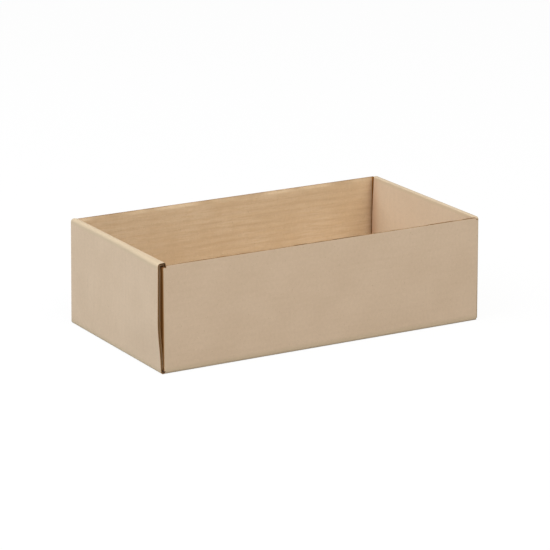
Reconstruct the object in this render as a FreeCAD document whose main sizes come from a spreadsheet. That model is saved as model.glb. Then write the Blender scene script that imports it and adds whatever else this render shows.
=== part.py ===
import FreeCAD, Part
import Sketcher
import os
from types import SimpleNamespace

# A die-cut corrugated tray, folded from one sheet. The base carries two single side walls. Each
# end wall is double: an outer panel stands up from the base, rolls over the top and comes down
# again inside as a lining, whose two tabs lock into slots in the base. The side walls turn round
# the corners into four flaps, which are held between the two layers of the end walls.
# X runs along the tray, Y across it, Z up. The origin is the middle of the base's underside.

NODE = "folded_tray"
PLACE = FreeCAD.Placement(FreeCAD.Vector(0, 0, 0), FreeCAD.Rotation())

DRIVING_SIZES = {
    # Outside of the tray
    "tray_length": 308.0,
    "tray_width": 167.0,
    "wall_height": 91.2,
    "roll_rise": 1.5,
    # The sheet and its folds
    "board_thickness": 2.4,
    "crease_radius": 2.4,
    "roll_radius": 2.6,
    "corner_radius": 1.2,
    "fold_clearance": 0.2,
    # Double end walls; each lining is cut narrower than its outer panel
    "panel_edge_inset": 1.4,
    "lining_edge_inset": 5.6,
    # Corner flaps
    "flap_reach": 68.0,
    "flap_tip_taper": 9.0,
    "flap_headroom": 0.8,
    # Lock tabs of the linings
    "tab_width": 30.0,
    "tab_spacing": 84.0,
    "tab_lift": 0.4,
}

# The two ends of a line or an arc, and the geometry numbers of the origin and the two axes
START = 1
END = 2
ORIGIN = -1
LEVEL_AXIS = -1
UPRIGHT_AXIS = -2


class Size:
    """A length in mm: its formula over the sheet's cells, and the value that gives now."""

    def __init__(self, formula, value):
        self.formula = formula
        self.value = value

    def __neg__(self):
        return Size(f"(-{self.formula})", -self.value)

    def __add__(self, other):
        return Size(f"({self.formula} + {other.formula})", self.value + other.value)

    def __sub__(self, other):
        return Size(f"({self.formula} - {other.formula})", self.value - other.value)

    def half(self):
        return Size(f"({self.formula} / 2)", self.value / 2)

    def doubled(self):
        return Size(f"({self.formula} * 2)", self.value * 2)


ZERO = Size("0", 0.0)


def make_sheet(doc):
    """Writes the driving sizes into a spreadsheet and gives each one back as a named Size."""
    sheet = doc.addObject("Spreadsheet::Sheet", "sizes")
    for row, (name, value) in enumerate(DRIVING_SIZES.items(), start=1):
        sheet.set(f"A{row}", name)
        sheet.set(f"B{row}", str(value))
        sheet.setAlias(f"B{row}", name)
    doc.recompute()
    size = SimpleNamespace()
    for name in DRIVING_SIZES:
        setattr(size, name, Size(f"sizes.{name}", float(sheet.get(name))))
    return size


def work_out_places(size):
    """Places of the tray's faces at its back right quarter; the others mirror them."""
    at = SimpleNamespace()

    # Along Z
    at.floor = size.board_thickness
    at.foot = at.floor + size.fold_clearance
    at.rim = size.wall_height + size.roll_rise
    at.roll_underside = at.rim - size.board_thickness
    at.flap_top = at.roll_underside - size.flap_headroom

    # Along Y
    at.side = size.tray_width.half()
    at.side_inside = at.side - size.board_thickness
    at.panel_edge = at.side - size.panel_edge_inset
    at.lining_edge = at.side - size.lining_edge_inset
    at.flap_tip = at.side - size.flap_reach
    at.tab_near = (size.tab_spacing - size.tab_width).half()
    at.tab_far = (size.tab_spacing + size.tab_width).half()

    # Along X, from the outer panel through the flap to the lining
    at.end = size.tray_length.half()
    at.end_inside = at.end - size.board_thickness
    at.flap = at.end_inside - size.fold_clearance
    at.flap_inside = at.flap - size.board_thickness
    at.lining = at.flap_inside - size.fold_clearance
    at.lining_inside = at.lining - size.board_thickness
    return at


def new_sketch(body, name, plane, height=None):
    """A sketch on one of the body's origin planes, or parallel to it at a height."""
    sketch = body.newObject("Sketcher::SketchObject", name)
    support = [item for item in body.Origin.OriginFeatures if item.Role == plane][0]
    sketch.AttachmentSupport = (support, "")
    sketch.MapMode = "FlatFace"
    if height:
        sketch.setExpression("AttachmentOffset.Base.z", height.formula)
    return sketch


def hold(sketch, kind, edge, size):
    """Holds an edge's start at a distance from the sketch's origin, along X or Y."""
    if size is ZERO:
        axis = UPRIGHT_AXIS if kind == "DistanceX" else LEVEL_AXIS
        sketch.addConstraint(Sketcher.Constraint("PointOnObject", edge, START, axis))
        return
    index = sketch.addConstraint(Sketcher.Constraint(kind, ORIGIN, START, edge, START, size.value))
    sketch.setExpression(f"Constraints[{index}]", size.formula)


def add_round(sketch, before, after, corner, heading_in, heading_out, radius):
    """A tangent arc between two edges that meet at a square outer corner."""
    centre = corner + (heading_out - heading_in) * radius.value
    facing = (corner - centre).normalize()
    facing_angle = FreeCAD.Vector(1, 0, 0).getAngle(facing)
    if facing.y < 0:
        facing_angle = -facing_angle
    eighth_turn = heading_in.getAngle(heading_out) / 2
    circle = Part.Circle(centre, FreeCAD.Vector(0, 0, 1), radius.value)
    arc = sketch.addGeometry(
        Part.ArcOfCircle(circle, facing_angle - eighth_turn, facing_angle + eighth_turn))
    sketch.addConstraint(Sketcher.Constraint("Tangent", before, END, arc, START))
    sketch.addConstraint(Sketcher.Constraint("Tangent", arc, END, after, START))
    index = sketch.addConstraint(Sketcher.Constraint("Radius", arc, radius.value))
    sketch.setExpression(f"Constraints[{index}]", radius.formula)


def add_outline(sketch, corners):
    """Closes an outline through its corners, counter-clockwise, each (x, y) or (x, y, radius).

    An upright or level edge stays so, at its distance from the origin. A corner with a radius is
    a square outer corner, and gets a tangent arc.
    """
    count = len(corners)
    following = [(k + 1) % count for k in range(count)]
    points = [FreeCAD.Vector(corner[0].value, corner[1].value, 0) for corner in corners]
    radii = [corner[2] if len(corner) > 2 else ZERO for corner in corners]
    headings = [(points[following[k]] - points[k]).normalize() for k in range(count)]
    upright = [corners[k][0].formula == corners[following[k]][0].formula for k in range(count)]
    level = [corners[k][1].formula == corners[following[k]][1].formula for k in range(count)]

    edges = []
    for k in range(count):
        start = points[k] + headings[k] * radii[k].value
        end = points[following[k]] - headings[k] * radii[following[k]].value
        edges.append(sketch.addGeometry(Part.LineSegment(start, end)))

    for k in range(count):
        if radii[k] is ZERO:
            sketch.addConstraint(Sketcher.Constraint("Coincident", edges[k - 1], END, edges[k], START))
        else:
            add_round(sketch, edges[k - 1], edges[k], points[k], headings[k - 1], headings[k], radii[k])

    for k in range(count):
        if upright[k]:
            sketch.addConstraint(Sketcher.Constraint("Vertical", edges[k]))
        if level[k]:
            sketch.addConstraint(Sketcher.Constraint("Horizontal", edges[k]))
        if upright[k] or not upright[k - 1]:
            hold(sketch, "DistanceX", edges[k], corners[k][0])
        if level[k] or not level[k - 1]:
            hold(sketch, "DistanceY", edges[k], corners[k][1])


def rectangle(x_low, x_high, y_low, y_high):
    """Corners of a rectangle, counter-clockwise."""
    return [(x_low, y_low), (x_high, y_low), (x_high, y_high), (x_low, y_high)]


def mirrored(corners):
    """The same outline on the other side of the sketch's upright axis."""
    return [(ZERO if corner[0] is ZERO else -corner[0], *corner[1:]) for corner in reversed(corners)]


def upside_down(corners):
    """The same outline on the other side of the sketch's level axis."""
    return [(corner[0], -corner[1], *corner[2:]) for corner in reversed(corners)]


def add_pad(body, name, sketch, length, both_ways=False):
    """Material from the sketch along its normal, or half to each side of it."""
    pad = body.newObject("PartDesign::Pad", name)
    pad.Profile = sketch
    pad.setExpression("Length", length.formula)
    pad.SideType = "Symmetric" if both_ways else "One side"
    return pad


def add_pocket(body, name, sketch, length, both_ways=False):
    """A cut from the sketch along its normal, or half to each side of it."""
    pocket = body.newObject("PartDesign::Pocket", name)
    pocket.Profile = sketch
    pocket.setExpression("Length", length.formula)
    pocket.Reversed = not both_ways
    pocket.SideType = "Symmetric" if both_ways else "One side"
    return pocket


def base_and_side_walls(body, size, at):
    """The base and both side walls, one U section as long as the flaps' outer faces lie apart."""
    section = new_sketch(body, "side_wall_section", "YZ_Plane")
    half_section = [
        (at.side, ZERO, size.crease_radius),
        (at.side, size.wall_height),
        (at.side_inside, size.wall_height),
        (at.side_inside, at.floor),
    ]
    add_outline(section, half_section + mirrored(half_section))
    add_pad(body, "base_and_side_walls", section, at.flap.doubled(), both_ways=True)


def side_wall_bends(body, size, at):
    """Rounds the four upright bends where the side walls turn into the flaps."""
    plan = new_sketch(body, "bend_plan", "XY_Plane")
    add_outline(plan, [
        (-at.flap, -at.side, size.corner_radius),
        (at.flap, -at.side, size.corner_radius),
        (at.flap, at.side, size.corner_radius),
        (-at.flap, at.side, size.corner_radius),
    ])
    add_outline(plan, rectangle(-at.end, at.end, -size.tray_width, size.tray_width))
    add_pocket(body, "side_wall_bends", plan, at.rim.doubled(), both_ways=True)


def bend_notches(body, size, at):
    """Lowers the side walls' rims at both ends to the flaps' tops, which the rolls pass over."""
    section = new_sketch(body, "notch_section", "XZ_Plane")
    notch = rectangle(at.lining, at.end, at.flap_top, at.rim)
    add_outline(section, notch)
    add_outline(section, mirrored(notch))
    add_pocket(body, "bend_notches", section, size.tray_width.doubled(), both_ways=True)


def rolled_end_walls(body, size, at):
    """The base's middle and both end walls, as wide as the linings: panel, roll and lining."""
    section = new_sketch(body, "end_wall_section", "XZ_Plane")
    half_section = [
        (at.end, ZERO, size.crease_radius),
        (at.end, at.rim, size.roll_radius),
        (at.lining_inside, at.rim, size.roll_radius),
        (at.lining_inside, at.foot),
        (at.lining, at.foot),
        (at.lining, at.roll_underside),
        (at.end_inside, at.roll_underside),
        (at.end_inside, at.floor),
    ]
    add_outline(section, half_section + mirrored(half_section))
    add_pad(body, "rolled_end_walls", section, at.lining_edge.doubled(), both_ways=True)


def outer_panels(body, size, at):
    """Both outer panels at their full width, with the rolls' outer halves above the flaps."""
    section = new_sketch(body, "outer_panel_section", "XZ_Plane")
    panel = [
        (at.flap_inside, ZERO),
        (at.end, ZERO, size.crease_radius),
        (at.end, at.rim, size.roll_radius),
        (at.flap_inside, at.rim),
        (at.flap_inside, at.roll_underside),
        (at.end_inside, at.roll_underside),
        (at.end_inside, at.floor),
        (at.flap_inside, at.floor),
    ]
    add_outline(section, panel)
    add_outline(section, mirrored(panel))
    add_pad(body, "outer_panels", section, at.panel_edge.doubled(), both_ways=True)


def right_corner_flaps(body, size, at):
    """Two flaps, from the side walls' bends into the right end wall, narrower at their tips."""
    outline = new_sketch(body, "flap_outline", "YZ_Plane", at.flap_inside)
    flap = [
        (at.flap_tip, at.foot + size.flap_tip_taper),
        (at.side_inside, at.foot),
        (at.side_inside, at.flap_top),
        (at.flap_tip, at.flap_top - size.flap_tip_taper),
    ]
    add_outline(outline, flap)
    add_outline(outline, mirrored(flap))
    return add_pad(body, "right_corner_flaps", outline, size.board_thickness)


def right_lock_slots(body, size, at):
    """Slots through the base under the right lining, with a clearance round each tab."""
    plan = new_sketch(body, "slot_plan", "XY_Plane")
    slot = rectangle(
        at.lining_inside - size.fold_clearance,
        at.lining + size.fold_clearance,
        at.tab_near - size.fold_clearance,
        at.tab_far + size.fold_clearance,
    )
    add_outline(plan, slot)
    add_outline(plan, upside_down(slot))
    return add_pocket(body, "right_lock_slots", plan, at.floor)


def right_lock_tabs(body, size, at):
    """Tabs on the right lining's lower edge, down into the slots and short of the ground."""
    outline = new_sketch(body, "tab_outline", "YZ_Plane", at.lining_inside)
    tab = rectangle(at.tab_near, at.tab_far, size.tab_lift, at.foot + size.board_thickness)
    add_outline(outline, tab)
    add_outline(outline, mirrored(tab))
    return add_pad(body, "right_lock_tabs", outline, size.board_thickness)


def left_end_alike(body, features):
    """Repeats the right end's flaps, slots and tabs at the left end."""
    mirror = body.newObject("PartDesign::Mirrored", "left_end_alike")
    plane = [item for item in body.Origin.OriginFeatures if item.Role == "YZ_Plane"][0]
    mirror.Originals = features
    mirror.MirrorPlane = (plane, [""])
    body.Tip = mirror


def make_tray(doc, size):
    """The whole folded sheet as one body."""
    at = work_out_places(size)
    body = doc.addObject("PartDesign::Body", NODE)
    body.Label = NODE
    body.Placement = PLACE
    base_and_side_walls(body, size, at)
    side_wall_bends(body, size, at)
    bend_notches(body, size, at)
    rolled_end_walls(body, size, at)
    outer_panels(body, size, at)
    flaps = right_corner_flaps(body, size, at)
    slots = right_lock_slots(body, size, at)
    tabs = right_lock_tabs(body, size, at)
    left_end_alike(body, [flaps, slots, tabs])
    return body


def check(doc, body):
    """Stops if a feature failed, added or cut nothing, or if the sheet isn't one whole solid."""
    for item in doc.Objects:
        if "Invalid" in item.State or "Error" in item.State:
            raise RuntimeError(f"{item.Name} failed: {item.State}")
    volume = 0.0
    for item in body.Group:
        if not item.isDerivedFrom("PartDesign::Feature"):
            continue
        grows = item.TypeId != "PartDesign::Pocket"
        if (item.Shape.Volume > volume) != grows:
            raise RuntimeError(f"{item.Name} went the wrong way or did nothing")
        volume = item.Shape.Volume
    if body.Shape.isNull() or not body.Shape.isValid() or len(body.Shape.Solids) != 1:
        raise RuntimeError(f"{body.Label} isn't one valid solid")


def main():
    doc = FreeCAD.newDocument("tray")
    body = make_tray(doc, make_sheet(doc))
    doc.recompute()
    check(doc, body)
    os.makedirs("parts", exist_ok=True)
    body.Shape.exportStep(f"parts/{body.Label}.step")
    box = body.Shape.BoundBox
    print(f"{body.Label}: {box.XLength:.2f} x {box.YLength:.2f} x {box.ZLength:.2f} mm, "
          f"{body.Shape.Volume / 1000:.1f} cm3")


main()
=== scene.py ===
import math
import bpy
import numpy as np
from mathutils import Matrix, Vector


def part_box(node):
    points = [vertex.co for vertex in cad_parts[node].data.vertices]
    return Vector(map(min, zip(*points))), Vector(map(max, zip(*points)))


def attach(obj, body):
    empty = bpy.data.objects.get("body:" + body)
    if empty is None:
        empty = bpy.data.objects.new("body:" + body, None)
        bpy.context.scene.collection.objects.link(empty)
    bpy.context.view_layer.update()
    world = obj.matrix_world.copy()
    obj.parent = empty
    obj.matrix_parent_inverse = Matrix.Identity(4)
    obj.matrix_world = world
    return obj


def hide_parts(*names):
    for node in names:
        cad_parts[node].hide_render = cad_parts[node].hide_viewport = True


# The folded tray as real corrugated board: an outer liner, an inner liner and the fluting between
# them, each followed through every fold of the sheet. Lengths are in mm until a mesh is made.

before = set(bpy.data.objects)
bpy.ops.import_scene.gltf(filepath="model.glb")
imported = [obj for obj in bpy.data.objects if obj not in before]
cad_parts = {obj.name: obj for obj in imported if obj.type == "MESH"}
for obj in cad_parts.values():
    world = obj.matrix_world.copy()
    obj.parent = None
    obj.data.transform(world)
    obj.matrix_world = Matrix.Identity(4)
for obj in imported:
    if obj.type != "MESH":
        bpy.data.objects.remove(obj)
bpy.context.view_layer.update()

MM = 0.001
NODE = "folded_tray"

# Slack for comparing places, and the least width left of a rounded corner
TINY = 1e-6
LEAST_SHARE = 0.05

# Outside of the tray, from the CAD part
cad_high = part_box(NODE)[1]
END = cad_high.x / MM
SIDE = cad_high.y / MM
RIM = cad_high.z / MM

# The sheet and its folds
BOARD = 2.4
ROLL_RISE = 1.5
WALL_HEIGHT = RIM - ROLL_RISE
CREASE_RADIUS = 2.4
ROLL_RADIUS = 2.6
CORNER_RADIUS = 1.2
CLEARANCE = 0.2
FLOOR_TOP = BOARD
FOOT = FLOOR_TOP + CLEARANCE

# Double end walls, from the outer panel through the flap to the lining
FLAP = END - BOARD - CLEARANCE
FLAP_INSIDE = FLAP - BOARD
LINING = FLAP_INSIDE - CLEARANCE
LINING_INSIDE = LINING - BOARD
PANEL_EDGE_INSET = 1.4
PANEL_EDGE = SIDE - PANEL_EDGE_INSET
LINING_EDGE_INSET = 5.6
LINING_EDGE = SIDE - LINING_EDGE_INSET

# Corner flaps
FLAP_HEADROOM = 0.8
FLAP_TOP = RIM - BOARD - FLAP_HEADROOM
FLAP_REACH = 68.0
FLAP_TIP = SIDE - FLAP_REACH
FLAP_TAPER = 9.0
BEND_START = FLAP - CORNER_RADIUS

# Lock tabs and their slots
TAB_NEAR = 27.0
TAB_FAR = 57.0
TAB_TIP = 0.4

# Layers of the board
LINER = 0.32
MEDIUM = 0.2
FLUTE_PITCH = 6.42
WASHBOARD = 0.07
FLUTE_DEPTH_SHOWN = 11.0

# How far the board is crushed in its folds and cut tops, and pressed at an edge
CREASE_CRUSH = 1.3
ROLL_CRUSH = 0.4
CRUSH_REACH = 2.6
TOP_CRUSH = 1.3
TOP_CRUSH_REACH = 3.0
EDGE_PRESS_REACH = 2.6
PRESSED_SHUT = 0.7

# Waves, each as its height, its length divided by two pi, and its start in radians
FLUTE_SLANT = 0.006
FLUTE_WAVES = ((0.9, 37.0, 0.8), (0.5, 13.7, 2.1))
TOP_WAVES = ((1.0, 2.9, 0.4), (1.0, 7.3, 1.9), (1.0, 19.0, 4.2))

# Mesh steps
BEND_PIECES = 7
PRESS_KNOTS = 6
OUTER_STEP = 4.0
OUTER_END_STEP = 3.0
INNER_STEP = 6.0
INNER_END_STEP = 5.0
FLUTING_STEP = 4.0
RIPPLE_STEP = FLUTE_PITCH / 8
END_RIPPLE_STEP = FLUTE_PITCH / 4
WAVE_STEP = FLUTE_PITCH / 14
SHARP_ANGLE = 40

# How far the painted brown shade of the inner corners reaches, and how strong it is at the top and the
# foot
WALL_PAINTED_SHADE_REACH = 7.0
LINING_PAINTED_SHADE_REACH = 16.0
TOP_PAINTED_SHADE = 0.15
FOOT_PAINTED_SHADE = 0.5

# How much of a flap's bend shows in the open slot before painted shade darkens it
OPEN_BEND = 1 / 3

# How each end wall departs from its plain section: the lining bellies into the tray halfway down,
# the outer panel leans in at its top, it stands off at its front edge, that edge is pressed round,
# the roll drops towards the outside, and its inner fold and its lining's front edge have sizes of
# their own.
LEFT_END = {
    "belly": 0.9,
    "lean": 1.4,
    "stand_off": 3.1,
    "edge_press": 0.0,
    "roll_drop": 0.0,
    "fold_radius": 2.6,
    "lining_front": LINING_EDGE,
}
RIGHT_END = {
    "belly": 1.5,
    "lean": 0.7,
    "stand_off": 0.0,
    "edge_press": 1.5,
    "roll_drop": 1.5,
    "fold_radius": 1.2,
    "lining_front": SIDE - BOARD - CLEARANCE,
}

# The panel stands off down to a height and back to a distance
STAND_OFF_HEIGHT = 45.0
STAND_OFF_REACH = 80.0


def smooth(share):
    """Eases a share from 0 to 1."""
    share = np.clip(share, 0.0, 1.0)
    return share * share * (3 - 2 * share)


def wander(along, waves):
    return sum(height * np.sin(along / length + start) for height, length, start in waves)


def flute_drift(along):
    """How far the flutes wander sideways from the cut lines, by the place along them."""
    return FLUTE_SLANT * along + wander(along, FLUTE_WAVES)


def flute_wave(along, sideways):
    """1 where the fluting meets the inner liner, -1 where it meets the outer one."""
    return np.cos(2 * math.pi * (sideways - flute_drift(along)) / FLUTE_PITCH)


def divide(knots, step, fine_zones=()):
    """Places from the first knot to the last, through each knot, at most a step apart.

    Each fine zone is (low, high, step), and its ends are knots too.
    """
    ends = [end for zone in fine_zones for end in zone[:2] if min(knots) < end < max(knots)]
    stops = sorted({round(float(knot), 6) for knot in [*knots, *ends]})
    places = [stops[0]]
    for start, stop in zip(stops, stops[1:]):
        middle = (start + stop) / 2
        zone_steps = [zone[2] for zone in fine_zones if zone[0] <= middle <= zone[1]]
        count = math.ceil((stop - start) / min([step, *zone_steps]) - TINY)
        places.extend(np.linspace(start, stop, max(1, count) + 1)[1:])
    return np.array(places)


class Profile:
    """The line of the sheet's outer face through its folds, in a plane.

    It runs through corners given as (a, b) or (a, b, radius) and always turns left, so the
    outside lies on its right.
    """

    def __init__(self, corners):
        points = [np.array(corner[:2], float) for corner in corners]
        radii = [corner[2] if len(corner) > 2 else 0.0 for corner in corners]
        self.straights = []
        self.bends = []
        place = 0.0
        heading_before = None
        for k in range(len(points) - 1):
            heading = points[k + 1] - points[k]
            run = np.linalg.norm(heading)
            heading = heading / run
            if heading_before is not None:
                turn = math.acos(np.clip(heading_before @ heading, -1, 1))
                outward = np.array([heading_before[1], -heading_before[0]])
                start = points[k] - heading_before * radii[k] * math.tan(turn / 2)
                end_place = place + radii[k] * turn
                self.bends.append((place, end_place, start - outward * radii[k], outward, radii[k]))
                place = end_place
            cut_before = self.tangent_length(points, radii, k)
            cut_after = self.tangent_length(points, radii, k + 1)
            length = run - cut_before - cut_after
            self.straights.append((place, place + length, points[k] + heading * cut_before, heading))
            place += length
            heading_before = heading
        self.length = place

    @staticmethod
    def tangent_length(points, radii, k):
        """How much of the edges beside corner k its round takes."""
        if not radii[k]:
            return 0.0
        before = points[k] - points[k - 1]
        after = points[k + 1] - points[k]
        cosine = before @ after / (np.linalg.norm(before) * np.linalg.norm(after))
        return radii[k] * math.tan(math.acos(np.clip(cosine, -1, 1)) / 2)

    def knots(self):
        """Where each straight run starts and ends."""
        return [place for straight in self.straights for place in straight[:2]]

    def fine_bends(self):
        """Fine zones for divide, one a bend."""
        return [(start, end, (end - start) / BEND_PIECES) for start, end, *_ in self.bends]

    def at(self, places):
        """The outer face's points, and the unit vectors that point out of the board there."""
        points = np.zeros((len(places), 2))
        outward = np.zeros((len(places), 2))
        for start, end, origin, heading in self.straights:
            here = (places >= start - TINY) & (places <= end + TINY)
            points[here] = origin + np.outer(places[here] - start, heading)
            outward[here] = (heading[1], -heading[0])
        for start, end, centre, first, radius in self.bends:
            here = (places > start) & (places < end)
            turn = (places[here] - start) / radius
            outward[here, 0] = first[0] * np.cos(turn) - first[1] * np.sin(turn)
            outward[here, 1] = first[0] * np.sin(turn) + first[1] * np.cos(turn)
            points[here] = centre + outward[here] * radius
        return points, outward

    def crush(self, places):
        """1 in the bends, easing to 0 on the flat board beside them."""
        share = np.zeros(len(places))
        for start, end, *_ in self.bends:
            away = np.maximum(start - places, places - end)
            share = np.maximum(share, smooth(1 - away / CRUSH_REACH))
        return share


class Strip:
    """Part of the sheet that bends one way: rows follow a profile, and columns lie across it."""

    def __init__(self, profile, place, flat):
        self.profile = profile
        self.place = place
        self.flat = flat

    def across(self, rows, columns):
        """The place across the profile of each point of the grid."""
        return np.broadcast_to(columns, (len(rows), len(columns)))

    def kept(self, row, column):
        """Which cells of the grid are board, by the places of their middles."""
        return np.ones(np.broadcast(row, column).shape, bool)

    def belly(self, rows):
        """How far the whole board stands out of its plain profile."""
        return np.zeros(len(rows))

    def creased(self, rows, columns):
        """1 in the folds, easing to 0 on the flat board beside them."""
        return self.profile.crush(rows)[:, None] + 0 * columns[None, :]

    def crush(self, rows, columns):
        """How far the inner liner is crushed towards the outer one, in the bends."""
        return CREASE_CRUSH * self.profile.crush(rows)[:, None] + 0 * columns[None, :]

    def press(self, rows, columns):
        """How far the outer liner is pressed in from outside."""
        return np.zeros((len(rows), len(columns)))

    def painted_shade(self, rows, columns, inside):
        """Painted shade: 0 on open paper, 0.5 in a brown corner, 1 in a dark gap, on the inner or outer
        liner.
        """
        return np.zeros((len(rows), len(columns)))

    def grid(self, rows, columns, depth):
        """Points at a depth under the outer face, one for each row and column."""
        points, outward = self.profile.at(rows)
        points = points + outward * self.belly(rows)[:, None]
        a = points[:, :1] - outward[:, :1] * depth
        b = points[:, 1:] - outward[:, 1:] * depth
        return np.stack(self.place(a, b, self.across(rows, columns)), axis=-1)


class BaseAndSideWalls(Strip):
    """From the front wall's top under the base to the back wall's top."""

    def __init__(self):
        profile = Profile([
            (-SIDE, WALL_HEIGHT),
            (-SIDE, 0, CREASE_RADIUS),
            (SIDE, 0, CREASE_RADIUS),
            (SIDE, WALL_HEIGHT),
        ])
        half = profile.length / 2
        super().__init__(
            profile,
            lambda a, b, across: (across, a + 0 * across, b + 0 * across),
            lambda rows, across: (across, (rows - half)[:, None] + 0 * across),
        )
        self.middle = half

    def slot_rows(self):
        """The sides of the lock slots, as places along the profile."""
        bounds = (TAB_NEAR - CLEARANCE, TAB_FAR + CLEARANCE)
        return [self.middle + side * bound for side in (-1, 1) for bound in bounds]

    def row_knots(self):
        notch = WALL_HEIGHT - FLAP_TOP
        return [*self.profile.knots(), *self.slot_rows(), notch, self.profile.length - notch]

    def column_knots(self):
        slot = (LINING_INSIDE - CLEARANCE, LINING + CLEARANCE)
        bounds = (*slot, LINING_INSIDE, LINING, BEND_START, FLAP)
        return [end * bound for end in (-1, 1) for bound in bounds]

    def across(self, rows, columns):
        """At its four corners the base is round in plan, as the upright bends above it are."""
        aside = np.abs(self.profile.at(rows)[0][:, 0]) - (SIDE - CORNER_RADIUS)
        reach = np.sqrt(CORNER_RADIUS ** 2 - np.clip(aside, 0, CORNER_RADIUS) ** 2)
        share = np.maximum(reach / CORNER_RADIUS, LEAST_SHARE)[:, None]
        past = np.maximum(np.abs(columns) - BEND_START, 0)
        return columns - np.sign(columns) * past * (1 - share)

    def painted_shade(self, rows, columns, inside):
        """Painted shade on the walls' inner faces: brown beside the linings, and dark behind them."""
        if not inside:
            return super().painted_shade(rows, columns, inside)
        down = (self.middle - np.abs(rows - self.middle)) / WALL_HEIGHT
        strength = np.where(down < 1, TOP_PAINTED_SHADE + (FOOT_PAINTED_SHADE - TOP_PAINTED_SHADE) * down, 0)
        beside = smooth(1 - (LINING_INSIDE - np.abs(columns)) / WALL_PAINTED_SHADE_REACH)
        behind = np.abs(columns) > LINING_INSIDE - TINY
        return np.maximum(np.outer(strength, beside), np.outer(down < 1, behind))

    def crush(self, rows, columns):
        """The cutting rule also crushed the walls' top edges, unevenly along them."""
        from_top = self.middle - np.abs(rows - self.middle)
        uneven = smooth(0.5 + wander(columns, TOP_WAVES) / len(TOP_WAVES))
        at_top = TOP_CRUSH * np.outer(smooth(1 - from_top / TOP_CRUSH_REACH), uneven)
        return np.maximum(super().crush(rows, columns), at_top)

    def kept(self, row, column):
        from_middle = np.abs(row - self.middle)
        end = np.abs(column)
        on_wall = from_middle > self.middle - WALL_HEIGHT + CREASE_RADIUS
        beside_tab = (from_middle > TAB_NEAR - CLEARANCE) & (from_middle < TAB_FAR + CLEARANCE)
        in_slot = beside_tab & (end > LINING_INSIDE - CLEARANCE) & (end < LINING + CLEARANCE)
        under_roll = (from_middle > self.middle - WALL_HEIGHT + FLAP_TOP) & (end > LINING)
        return ~(on_wall & (end > BEND_START)) & ~in_slot & ~under_roll


class EndWall(Strip):
    """From the base's edge up the outer panel, over the roll and down the lining to its tabs."""

    def __init__(self, end, belly, lean, stand_off, edge_press, roll_drop, fold_radius,
                 lining_front):
        profile = Profile([
            (FLAP, 0),
            (END, 0, CREASE_RADIUS),
            (END, RIM - roll_drop, ROLL_RADIUS),
            (LINING_INSIDE, RIM, fold_radius),
            (LINING_INSIDE, TAB_TIP),
        ])
        super().__init__(
            profile,
            lambda a, b, across: (end * self.moved_out(a, b, across), across, b + 0 * across),
            lambda rows, across: (end * (FLAP + rows)[:, None] + 0 * across, across),
        )
        self.most_belly = belly
        self.lean = lean
        self.most_stand_off = stand_off
        self.edge_press = edge_press
        self.lining_front = lining_front
        self.foot_row = profile.length - FOOT + TAB_TIP
        self.panel_end = profile.straights[1][1]
        self.lining_start = profile.straights[3][0]

    def row_knots(self):
        return [*self.profile.knots(), self.foot_row]

    def column_knots(self):
        bounds = (TAB_NEAR, TAB_FAR, PANEL_EDGE)
        pressed = np.linspace(0, EDGE_PRESS_REACH, PRESS_KNOTS)[1:] - PANEL_EDGE
        return [*(side * bound for side in (-1, 1) for bound in bounds), *pressed]

    def moved_out(self, a, b, across):
        """The panel leans in, but stands off at its front edge. Both ease to nothing in the roll."""
        on_panel = smooth((a - LINING) / (FLAP - LINING))
        near_front = smooth(1 - (PANEL_EDGE + across) / STAND_OFF_REACH)
        stand_off = self.most_stand_off * smooth(b / STAND_OFF_HEIGHT) * near_front
        return a + on_panel * (stand_off - self.lean * b / RIM)

    def across(self, rows, columns):
        """The cut edges slant over the roll, from the outer panel's width to the lining's."""
        share = np.clip((rows - self.panel_end) / (self.lining_start - self.panel_end), 0, 1)
        past = np.maximum(np.abs(columns) - TAB_FAR, 0) / (PANEL_EDGE - TAB_FAR)
        lining_edge = np.where(columns < 0, self.lining_front, LINING_EDGE)
        return columns - np.sign(columns) * past * share[:, None] * (PANEL_EDGE - lining_edge)

    def crush(self, rows, columns):
        """The roll is folded gently, and keeps most of the board's thickness."""
        in_roll = rows > (self.profile.straights[1][0] + self.panel_end) / 2
        return super().crush(rows, columns) * np.where(in_roll, ROLL_CRUSH / CREASE_CRUSH, 1)[:, None]

    def press(self, rows, columns):
        """The front edge is pressed round, no further than the flap behind it allows."""
        height = self.profile.at(rows)[0][:, 1]
        most = np.minimum(self.edge_press, END - self.lean * height / RIM - LINER - FLAP)
        return np.outer(most, smooth(1 - (PANEL_EDGE + columns) / EDGE_PRESS_REACH))

    def painted_shade(self, rows, columns, inside):
        """Painted shade on the lining's visible face: brown towards its upright edges."""
        if inside:
            return super().painted_shade(rows, columns, inside)
        down = (rows - self.lining_start) / (self.foot_row - self.lining_start)
        strength = np.where(down > 0, TOP_PAINTED_SHADE + (FOOT_PAINTED_SHADE - TOP_PAINTED_SHADE) * np.clip(down, 0, 1), 0)
        return np.outer(strength, smooth(1 - (PANEL_EDGE - np.abs(columns)) / LINING_PAINTED_SHADE_REACH))

    def kept(self, row, column):
        on_tab = (np.abs(column) > TAB_NEAR) & (np.abs(column) < TAB_FAR)
        return (row < self.foot_row) | on_tab

    def belly(self, rows):
        start, end = self.profile.straights[-1][:2]
        share = np.clip((rows - start) / (end - start), 0, 1)
        return self.most_belly * np.sin(math.pi * share)


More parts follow.
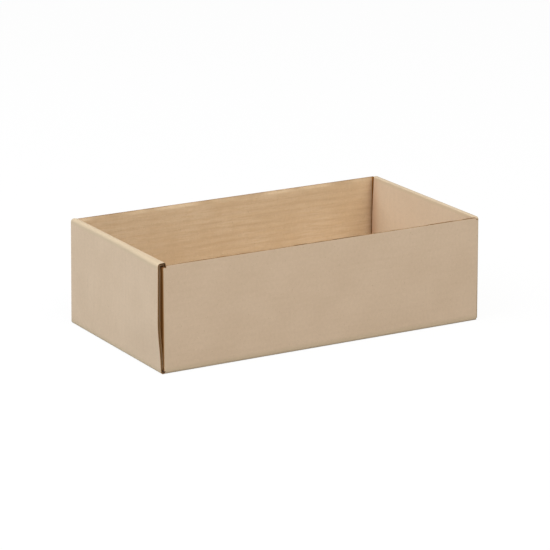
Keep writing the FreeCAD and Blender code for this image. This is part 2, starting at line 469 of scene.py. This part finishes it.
class CornerFlap(Strip):
    """From a side wall's end round the upright bend to the flap's tip inside the end wall."""

    def __init__(self, end, side, in_slot):
        profile = Profile([
            (BEND_START, -SIDE),
            (FLAP, -SIDE, CORNER_RADIUS),
            (FLAP, -FLAP_TIP),
        ])
        middle = SIDE + WALL_HEIGHT - (2 - math.pi / 2) * CREASE_RADIUS
        super().__init__(
            profile,
            lambda a, b, across: (end * a + 0 * across, -side * b + 0 * across, across),
            lambda rows, across: (end * (BEND_START + rows)[:, None] + 0 * across,
                                  side * (middle - WALL_HEIGHT + across)),
        )
        self.in_slot = in_slot

    def row_knots(self):
        return self.profile.knots()

    def painted_shade(self, rows, columns, inside):
        """Painted shade: dark inside the end wall, and outside it from the bend on where the wall
        stands open.
        """
        if inside:
            return np.ones((len(rows), len(columns)))
        start, end = self.profile.bends[0][:2]
        turned = (rows - start) / (end - start)
        dark = smooth((turned - OPEN_BEND) / (1 - OPEN_BEND))
        return self.in_slot * dark[:, None] + 0 * columns[None, :]

    def column_knots(self):
        return [FOOT, FLAP_TOP]

    def across(self, rows, columns):
        """The flap gets narrower towards its tip."""
        points = self.profile.at(rows)[0]
        share = np.clip((points[:, 1] + SIDE - BOARD) / (SIDE - BOARD - FLAP_TIP), 0, 1)[:, None]
        height = (columns - FOOT) / (FLAP_TOP - FOOT)
        return FOOT + FLAP_TAPER * share + height * (FLAP_TOP - FOOT - 2 * FLAP_TAPER * share)


def shell_faces(kept):
    """The quads of a closed skin over the kept cells: both faces, and walls round its edges.

    The second face's points are numbered after all of the first's. Also says which quads are cut
    edges.
    """
    count = (kept.shape[0] + 1, kept.shape[1] + 1)
    first = np.arange(count[0] * count[1]).reshape(count)
    corners = (first[:-1, :-1], first[1:, :-1], first[1:, 1:], first[:-1, 1:])
    a, b, c, d = corners
    under = count[0] * count[1]
    padded = np.pad(kept, 1)
    faces = [
        np.stack([x[kept] for x in (a, b, c, d)], axis=1),
        np.stack([x[kept] + under for x in (d, c, b, a)], axis=1),
    ]
    borders = (
        (padded[:-2, 1:-1], a, d),
        (padded[2:, 1:-1], c, b),
        (padded[1:-1, :-2], b, a),
        (padded[1:-1, 2:], d, c),
    )
    for beside, start, end in borders:
        edge = kept & ~beside
        faces.append(np.stack([start[edge], end[edge], end[edge] + under, start[edge] + under], axis=1))
    cut = np.concatenate([np.full(len(group), k > 1) for k, group in enumerate(faces)])
    return np.concatenate(faces), cut


def middles(places):
    return (places[:-1] + places[1:]) / 2


def make_shell(strip, rows, columns, top_depth, bottom_depth, painted_shade, shown=None):
    """Points, quads, cut marks, flat places, crease and painted shade shares of one layer of a strip.
    """
    kept = strip.kept(middles(rows)[:, None], middles(columns)[None, :])
    if shown is not None:
        kept = kept & shown(middles(rows)[:, None], middles(columns)[None, :])
    grids = [strip.grid(rows, columns, depth) for depth in (top_depth, bottom_depth)]
    points = np.concatenate([grid.reshape(-1, 3) for grid in grids])
    along, sideways = strip.flat(rows, strip.across(rows, columns))
    flat = np.concatenate([
        np.stack([along, sideways, depth + 0 * along], axis=-1).reshape(-1, 3)
        for depth in (top_depth, bottom_depth)
    ])
    faces, cut = shell_faces(kept)
    shut = np.tile(strip.press(rows, columns).ravel() > PRESSED_SHUT, 2)
    used, renumbered = np.unique(faces, return_inverse=True)
    return {
        "points": points[used],
        "faces": renumbered.reshape(-1, 4),
        "cut": cut & ~shut[faces].all(axis=1),
        "flat": flat[used],
        "crease": np.tile(strip.creased(rows, columns).ravel(), 2)[used],
        "painted_shade": np.tile(painted_shade.ravel(), 2)[used],
    }


def depths(strip, rows, columns):
    """Depths of the inner liner's two faces and of the fluting's middle, for each grid point."""
    along, sideways = strip.flat(rows, strip.across(rows, columns))
    wave = flute_wave(along, sideways)
    press = strip.press(rows, columns)
    least = press + 2 * LINER + MEDIUM
    inner = np.maximum(BOARD - strip.crush(rows, columns) - WASHBOARD * (1 - wave) / 2, least)
    room = inner - least
    fluting = press + LINER + MEDIUM / 2 + np.maximum(room, TINY) * (1 + wave) / 2
    return inner, fluting


def outer_liner(strip, step):
    rows = divide(strip.row_knots(), step, strip.profile.fine_bends())
    columns = divide(strip.column_knots(), step)
    outer = strip.press(rows, columns)
    painted_shade = strip.painted_shade(rows, columns, inside=False)
    return make_shell(strip, rows, columns, outer, outer + LINER, painted_shade)


def inner_liner(strip, row_step, column_step):
    rows = divide(strip.row_knots(), row_step, strip.profile.fine_bends())
    columns = divide(strip.column_knots(), column_step)
    inner = depths(strip, rows, columns)[0]
    painted_shade = strip.painted_shade(rows, columns, inside=True)
    return make_shell(strip, rows, columns, inner - LINER, inner, painted_shade)


def fluting(strip, row_step, column_step, shown):
    rows = divide(strip.row_knots(), row_step, strip.profile.fine_bends())
    columns = divide(strip.column_knots(), column_step)
    middle = depths(strip, rows, columns)[1]
    top, bottom = middle - MEDIUM / 2, middle + MEDIUM / 2
    return make_shell(strip, rows, columns, top, bottom, np.zeros(middle.shape), shown)


def join(shells, key):
    return np.concatenate([shell[key] for shell in shells])


def make_piece(name, shells, face_material, cut_material):
    """Joins shells into one mesh object that stands for the CAD sheet."""
    starts = np.cumsum([0] + [len(shell["points"]) for shell in shells[:-1]])
    faces = np.concatenate([shell["faces"] + start for shell, start in zip(shells, starts)])
    mesh = bpy.data.meshes.new(name)
    mesh.from_pydata((join(shells, "points") * MM).tolist(), [], faces.tolist())
    flat = mesh.attributes.new("flat", "FLOAT_VECTOR", "POINT")
    flat.data.foreach_set("vector", (join(shells, "flat") * MM).ravel())
    for key in ("crease", "painted_shade"):
        attribute = mesh.attributes.new(key, "FLOAT", "POINT")
        attribute.data.foreach_set("value", join(shells, key))
    mesh.shade_smooth()
    mesh.set_sharp_from_angle(angle=math.radians(SHARP_ANGLE))
    mesh.materials.append(face_material)
    mesh.materials.append(cut_material)
    mesh.polygons.foreach_set("material_index", join(shells, "cut").astype(np.int32))
    piece = bpy.data.objects.new(name, mesh)
    bpy.context.scene.collection.objects.link(piece)
    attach(piece, "root")
    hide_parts(NODE)
    return piece


def make_tray():
    """The three layers of the sheet, each through all of its parts."""
    walls = BaseAndSideWalls()
    ends = [EndWall(-1, **LEFT_END), EndWall(1, **RIGHT_END)]
    # Only the front-left flap gets painted shade on its outer face, where its end wall stands open
    flaps = [CornerFlap(end, side, end == side == -1) for end in (-1, 1) for side in (-1, 1)]
    outer_kraft = kraft("outer_kraft", **OUTER_PAPER)
    inner_kraft = kraft("inner_kraft", **INNER_PAPER)
    fluting_kraft = kraft("fluting_kraft", **FLUTING_PAPER)
    cut_kraft = kraft("cut_kraft", **CUT_PAPER)

    outer = [outer_liner(walls, OUTER_STEP)]
    outer += [outer_liner(strip, OUTER_END_STEP) for strip in ends]
    outer += [outer_liner(strip, OUTER_STEP) for strip in flaps]
    make_piece("outer_liner", outer, outer_kraft, cut_kraft)

    inner = [inner_liner(walls, RIPPLE_STEP, INNER_STEP)]
    inner += [inner_liner(strip, INNER_END_STEP, END_RIPPLE_STEP) for strip in [*ends, *flaps]]
    make_piece("inner_liner", inner, inner_kraft, cut_kraft)

    def near_wall_tops(row, column):
        return np.abs(row - walls.middle) > walls.middle - FLUTE_DEPTH_SHOWN

    def near_end_edges(row, column):
        foot = ends[0].foot_row - FLUTE_DEPTH_SHOWN
        return (np.abs(column) > PANEL_EDGE - FLUTE_DEPTH_SHOWN) | (row > foot)

    def near_flap_edges(row, column):
        return (column > FLAP_TOP - FLUTE_DEPTH_SHOWN) | (column < FOOT + FLUTE_DEPTH_SHOWN)

    medium = [fluting(walls, WAVE_STEP, FLUTING_STEP, near_wall_tops)]
    medium += [fluting(strip, FLUTING_STEP, WAVE_STEP, near_end_edges) for strip in ends]
    medium += [fluting(strip, FLUTING_STEP, WAVE_STEP, near_flap_edges) for strip in flaps]
    make_piece("fluting", medium, fluting_kraft, cut_kraft)


# How strongly a paper shows clouds, streaks along the board, fine streaks and the flutes' lines, whose
# colour is painted shade of the flutes' ripples
OUTER_PATTERN = (0.6, 0.3, 0.15, 0.15)
INNER_PATTERN = (0.7, 0.6, 0.8, 0.8)

# The tone each paper takes on in its folds, and how far: the outer liner's folds get a little darker,
# and the dark fold tone of the inner liner, fluting and cut edges is painted shade in the folds
OUTER_FOLD = ((0.53, 0.42, 0.28, 1), 0.8)
PAINTED_FOLD_SHADE = ((0.2, 0.115, 0.055, 1), 0.5)

# The papers, with their tones as linear colours
OUTER_PAPER = {
    "tone": (0.60, 0.46, 0.325, 1),
    "deep_tone": (0.555, 0.42, 0.29, 1),
    "pattern": OUTER_PATTERN,
    "fold": OUTER_FOLD,
    "roughness": 0.62,
}
INNER_PAPER = {
    "tone": (0.632, 0.484, 0.321, 1),
    "deep_tone": (0.558, 0.405, 0.246, 1),
    "pattern": INNER_PATTERN,
    "fold": PAINTED_FOLD_SHADE,
    "roughness": 0.78,
}
# The fluting's own browner tone, made darker still as painted shade of the grooves between the liners
FLUTING_PAPER = {
    "tone": (0.22, 0.125, 0.05, 1),
    "deep_tone": (0.18, 0.10, 0.04, 1),
    "pattern": OUTER_PATTERN,
    "fold": PAINTED_FOLD_SHADE,
    "roughness": 0.85,
}
# The cut edges' dark brown is partly the board's own edge and partly painted shade of the grooves and
# slots
CUT_PAPER = {
    "tone": (0.33, 0.17, 0.06, 1),
    "deep_tone": (0.27, 0.13, 0.04, 1),
    "pattern": OUTER_PATTERN,
    "fold": PAINTED_FOLD_SHADE,
    "roughness": 0.9,
}

# What painted shade does to a colour, in a corner and in a gap
PAINTED_CORNER_SHADE = (0.82, 0.62, 0.54, 1)
PAINTED_GAP_SHADE = (0.62, 0.36, 0.13, 1)

# Noises on the flat sheet, each as its stretch, scale, detail and roughness
CLOUD = ((1, 1, 0.2), 28, 3, 0.5)
STREAK = ((0.25, 3.5, 0.2), 90, 4, 0.6)
FINE_STREAK = ((0.5, 5, 0.2), 130, 3, 0.6)
FLOC = ((1, 0.7, 0.2), 420, 4, 0.62)
FIBRE = ((3.5, 0.5, 1), 1600, 3, 0.65)
BARK = ((1.4, 0.6, 1), 900, 1, 0.5)
STRAW = ((0.5, 1.6, 1), 760, 1, 0.5)

# Where each noise starts to show, and where it shows in full
CLOUD_RANGE = (0.32, 0.68)
STREAK_RANGE = (0.4, 0.7)
FINE_STREAK_RANGE = (0.45, 0.7)
FLUTE_LINE_RANGE = (0.35, 0.65)
FLECK_RANGE = (0.70, 0.78)

# Flecks, each as its noise, tone and strength
FLECKS = (
    (BARK, (0.2, 0.12, 0.06, 1), 0.35),
    (STRAW, (0.78, 0.66, 0.5, 1), 0.3),
)

# How far grain and flute lines change the paper's level, roughness and relief; the flute lines' change
# of level is painted shade of the flutes' ripples
GRAIN = 0.16
FLUTE_LINE_PAINTED_SHADE = 0.02
ROUGHNESS_SPREAD = 0.16
FIBRE_RELIEF = 0.5
FLUTE_RELIEF = 0.3
RELIEF_HEIGHT = 0.00012
RELIEF_STRENGTH = 0.5
SPECULAR_LEVEL = 0.35


def add_node(tree, kind, settings=None, **inputs):
    """Adds a node, sets its properties, and sets or links its named inputs."""
    node = tree.nodes.new(kind)
    for name, value in (settings or {}).items():
        setattr(node, name, value)
    for name, value in inputs.items():
        set_input(tree, node.inputs[name.replace("_", " ")], value)
    return node


def set_input(tree, socket, value):
    if isinstance(value, bpy.types.NodeSocket):
        tree.links.new(value, socket)
    else:
        socket.default_value = value


def calculate(tree, operation, first, second=0.0):
    """A sum, product or other operation on one or two numbers."""
    node = add_node(tree, "ShaderNodeMath", {"operation": operation})
    set_input(tree, node.inputs[0], first)
    set_input(tree, node.inputs[1], second)
    return node.outputs[0]


def blend_colours(tree, share, first, second, kind="MIX"):
    node = add_node(tree, "ShaderNodeMix", {"data_type": "RGBA", "blend_type": kind})
    set_input(tree, node.inputs[0], share)
    set_input(tree, node.inputs[6], first)
    set_input(tree, node.inputs[7], second)
    return node.outputs[2]


def add_noise(tree, place, stretch, scale, detail, roughness):
    """Noise on the flat sheet, stretched along it, as a number from about 0 to 1."""
    scaled = add_node(tree, "ShaderNodeMapping", Vector=place, Scale=stretch).outputs[0]
    noise = add_node(tree, "ShaderNodeTexNoise", Vector=scaled, Scale=scale, Detail=detail,
                     Roughness=roughness)
    return noise.outputs["Fac"]


def between(tree, value, low, high, strength=1.0):
    """0 up to low and the strength from high, eased between."""
    node = add_node(tree, "ShaderNodeMapRange", {"interpolation_type": "SMOOTHSTEP"},
                    Value=value, From_Min=low, From_Max=high)
    return calculate(tree, "MULTIPLY", node.outputs[0], strength)


def painted_shade_colour(tree):
    """White on open paper, and the painted shade's colour in corners and gaps."""
    painted_shade = add_node(tree, "ShaderNodeAttribute", {"attribute_name": "painted_shade"}).outputs["Fac"]
    ramp = add_node(tree, "ShaderNodeValToRGB", Fac=painted_shade)
    stops = ramp.color_ramp.elements
    stops[0].color = (1, 1, 1, 1)
    stops[1].color = PAINTED_GAP_SHADE
    stops.new(0.5).color = PAINTED_CORNER_SHADE
    return ramp.outputs["Color"]


def flute_lines(tree, place, streak):
    """Faint lines over the flutes, which come and go with the streaks: painted shade of the flutes'
    ripples in the colour, and relief in the bump.
    """
    across = add_node(tree, "ShaderNodeSeparateXYZ", Vector=place).outputs[1]
    turns = calculate(tree, "MULTIPLY", across, 2 * math.pi / (FLUTE_PITCH * MM))
    wave = calculate(tree, "SINE", turns)
    return calculate(tree, "MULTIPLY", wave, between(tree, streak, *FLUTE_LINE_RANGE))


def grey_level(tree, floc, fibre, lines, line_strength):
    """A grey near white, which gives the paper its fine grain and the painted shade of the flute lines.
    """
    grain = calculate(tree, "ADD", calculate(tree, "MULTIPLY", floc, GRAIN),
                      calculate(tree, "MULTIPLY", fibre, GRAIN))
    line = calculate(tree, "MULTIPLY", lines, line_strength)
    level = calculate(tree, "ADD", calculate(tree, "ADD", grain, line), 1 - GRAIN)
    return add_node(tree, "ShaderNodeCombineColor", Red=level, Green=level, Blue=level).outputs[0]


def kraft(name, tone, deep_tone, pattern, fold, roughness):
    """Kraft paper: cloudy formation, fibres, flecks, faint flute lines, marked folds and painted shade;
    the flute lines' colour and a dark fold tone are painted shade too.
    """
    cloud_strength, streak_strength, fine_strength, line_strength = pattern
    fold_tone, fold_strength = fold
    material = bpy.data.materials.new(name)
    material.use_nodes = True
    tree = material.node_tree
    shader = tree.nodes["Principled BSDF"]
    place = add_node(tree, "ShaderNodeAttribute", {"attribute_name": "flat"}).outputs["Vector"]
    crease = add_node(tree, "ShaderNodeAttribute", {"attribute_name": "crease"}).outputs["Fac"]
    cloud = add_noise(tree, place, *CLOUD)
    streak = add_noise(tree, place, *STREAK)
    fine_streak = add_noise(tree, place, *FINE_STREAK)
    floc = add_noise(tree, place, *FLOC)
    fibre = add_noise(tree, place, *FIBRE)
    lines = flute_lines(tree, place, streak)

    clouded = between(tree, cloud, *CLOUD_RANGE, cloud_strength)
    streaked = between(tree, streak, *STREAK_RANGE, streak_strength)
    lined = between(tree, fine_streak, *FINE_STREAK_RANGE, fine_strength)
    colour = tone
    for share in (clouded, streaked, lined):
        colour = blend_colours(tree, share, colour, deep_tone)
    grey = grey_level(tree, floc, fibre, lines, FLUTE_LINE_PAINTED_SHADE * line_strength)
    colour = blend_colours(tree, 1.0, colour, grey, "MULTIPLY")
    for noise, fleck_tone, strength in FLECKS:
        flecked = between(tree, add_noise(tree, place, *noise), *FLECK_RANGE, strength)
        colour = blend_colours(tree, flecked, colour, fleck_tone)
    # Folds take on their paper's fold tone; the dark one is painted shade in the folds
    folded = calculate(tree, "MULTIPLY", crease, fold_strength)
    colour = blend_colours(tree, folded, colour, fold_tone)
    # Painted shade in corners and gaps multiplies the colour
    colour = blend_colours(tree, 1.0, colour, painted_shade_colour(tree), "MULTIPLY")
    tree.links.new(colour, shader.inputs["Base Color"])

    spread = calculate(tree, "MULTIPLY", fibre, ROUGHNESS_SPREAD)
    rough = calculate(tree, "ADD", spread, roughness - ROUGHNESS_SPREAD / 2)
    tree.links.new(rough, shader.inputs["Roughness"])
    height = calculate(tree, "ADD", calculate(tree, "MULTIPLY", fibre, FIBRE_RELIEF), floc)
    height = calculate(tree, "ADD", height, calculate(tree, "MULTIPLY", lines, FLUTE_RELIEF))
    bump = add_node(tree, "ShaderNodeBump", Height=height, Strength=RELIEF_STRENGTH,
                    Distance=RELIEF_HEIGHT)
    tree.links.new(bump.outputs[0], shader.inputs["Normal"])
    shader.inputs["Specular IOR Level"].default_value = SPECULAR_LEVEL
    return material


# Room and camera
CAMERA_PLACE = (-1.20428, -2.09551, 0.73791)
CAMERA_AZIMUTH = -29.8773
CAMERA_ELEVATION = 16.0785
LENS = 192.97
SENSOR_WIDTH = 36.0
FLOOR_HALF = 8.0
FLOOR_LEVEL = -0.0002
FLOOR_TONE = (0.35, 0.35, 0.35, 1)
SEEN_FLOOR_TONE = (0.95, 0.95, 0.95, 1)
SKY = 0.35
CAMERA_SHARE = 0.94
LAMP_DISTANCE = 2.4
LAMP_SIZE = 2.6
LEFT_LAMP_DIRECTION = (95, 42)
LEFT_LAMP_POWER = 50
COOL_WHITE = (0.95, 1, 1.05)
FRONT_LAMP_DIRECTION = (-6, 48)
FRONT_LAMP_POWER = 44
WARM_WHITE = (1.04, 1, 0.96)


def seen_directly(tree):
    """1 for rays from the camera, and for those by which gloss or glass shows the background."""
    paths = add_node(tree, "ShaderNodeLightPath").outputs
    either = calculate(tree, "MAXIMUM", paths["Is Camera Ray"], paths["Is Glossy Ray"])
    return calculate(tree, "MAXIMUM", either, paths["Is Transmission Ray"])


def make_floor():
    half, level = FLOOR_HALF, FLOOR_LEVEL
    corners = [(-half, -half, level), (half, -half, level), (half, half, level), (-half, half, level)]
    mesh = bpy.data.meshes.new("floor")
    mesh.from_pydata(corners, [], [(0, 1, 2, 3)])
    material = bpy.data.materials.new("white_floor")
    material.use_nodes = True
    tree = material.node_tree
    tree.nodes.clear()
    seen = seen_directly(tree)
    tone = blend_colours(tree, seen, FLOOR_TONE, SEEN_FLOOR_TONE)
    diffuse = add_node(tree, "ShaderNodeBsdfDiffuse", Color=tone)
    glow = add_node(tree, "ShaderNodeEmission", Color=(1, 1, 1, 1), Strength=1.0)
    share = calculate(tree, "MULTIPLY", seen, CAMERA_SHARE)
    mixed = add_node(tree, "ShaderNodeMixShader")
    set_input(tree, mixed.inputs[0], share)
    set_input(tree, mixed.inputs[1], diffuse.outputs[0])
    set_input(tree, mixed.inputs[2], glow.outputs[0])
    add_node(tree, "ShaderNodeOutputMaterial", Surface=mixed.outputs[0])
    mesh.materials.append(material)
    floor = bpy.data.objects.new("floor", mesh)
    bpy.context.scene.collection.objects.link(floor)


def make_sky():
    """Even soft light from all round, white where it is seen."""
    world = bpy.data.worlds.new("studio")
    bpy.context.scene.world = world
    world.use_nodes = True
    tree = world.node_tree
    background = tree.nodes["Background"]
    colour = blend_colours(tree, seen_directly(tree), (SKY, SKY, SKY, 1), (1, 1, 1, 1))
    tree.links.new(colour, background.inputs["Color"])


def add_lamp(name, direction, power, colour):
    """A large soft lamp that shines on the tray from a direction, as (turn from front, height)."""
    turn, height = (math.radians(angle) for angle in direction)
    light = bpy.data.lights.new(name, "AREA")
    light.shape = "DISK"
    light.size = LAMP_SIZE
    light.energy = power
    light.color = colour
    lamp = bpy.data.objects.new(name, light)
    level = LAMP_DISTANCE * math.cos(height)
    lamp.location = (-level * math.sin(turn), -level * math.cos(turn), LAMP_DISTANCE * math.sin(height))
    lamp.rotation_euler = (-lamp.location).to_track_quat("-Z", "Y").to_euler()
    bpy.context.scene.collection.objects.link(lamp)


def make_camera():
    data = bpy.data.cameras.new("camera")
    data.sensor_width = SENSOR_WIDTH
    data.lens = LENS
    camera = bpy.data.objects.new("camera", data)
    camera.location = CAMERA_PLACE
    camera.rotation_euler = (math.radians(90 - CAMERA_ELEVATION), 0, math.radians(CAMERA_AZIMUTH))
    bpy.context.scene.collection.objects.link(camera)
    bpy.context.scene.camera = camera


make_camera()
make_tray()
make_floor()
make_sky()
add_lamp("left_lamp", LEFT_LAMP_DIRECTION, LEFT_LAMP_POWER, COOL_WHITE)
add_lamp("front_lamp", FRONT_LAMP_DIRECTION, FRONT_LAMP_POWER, WARM_WHITE)
bpy.context.scene.view_settings.view_transform = "Standard"
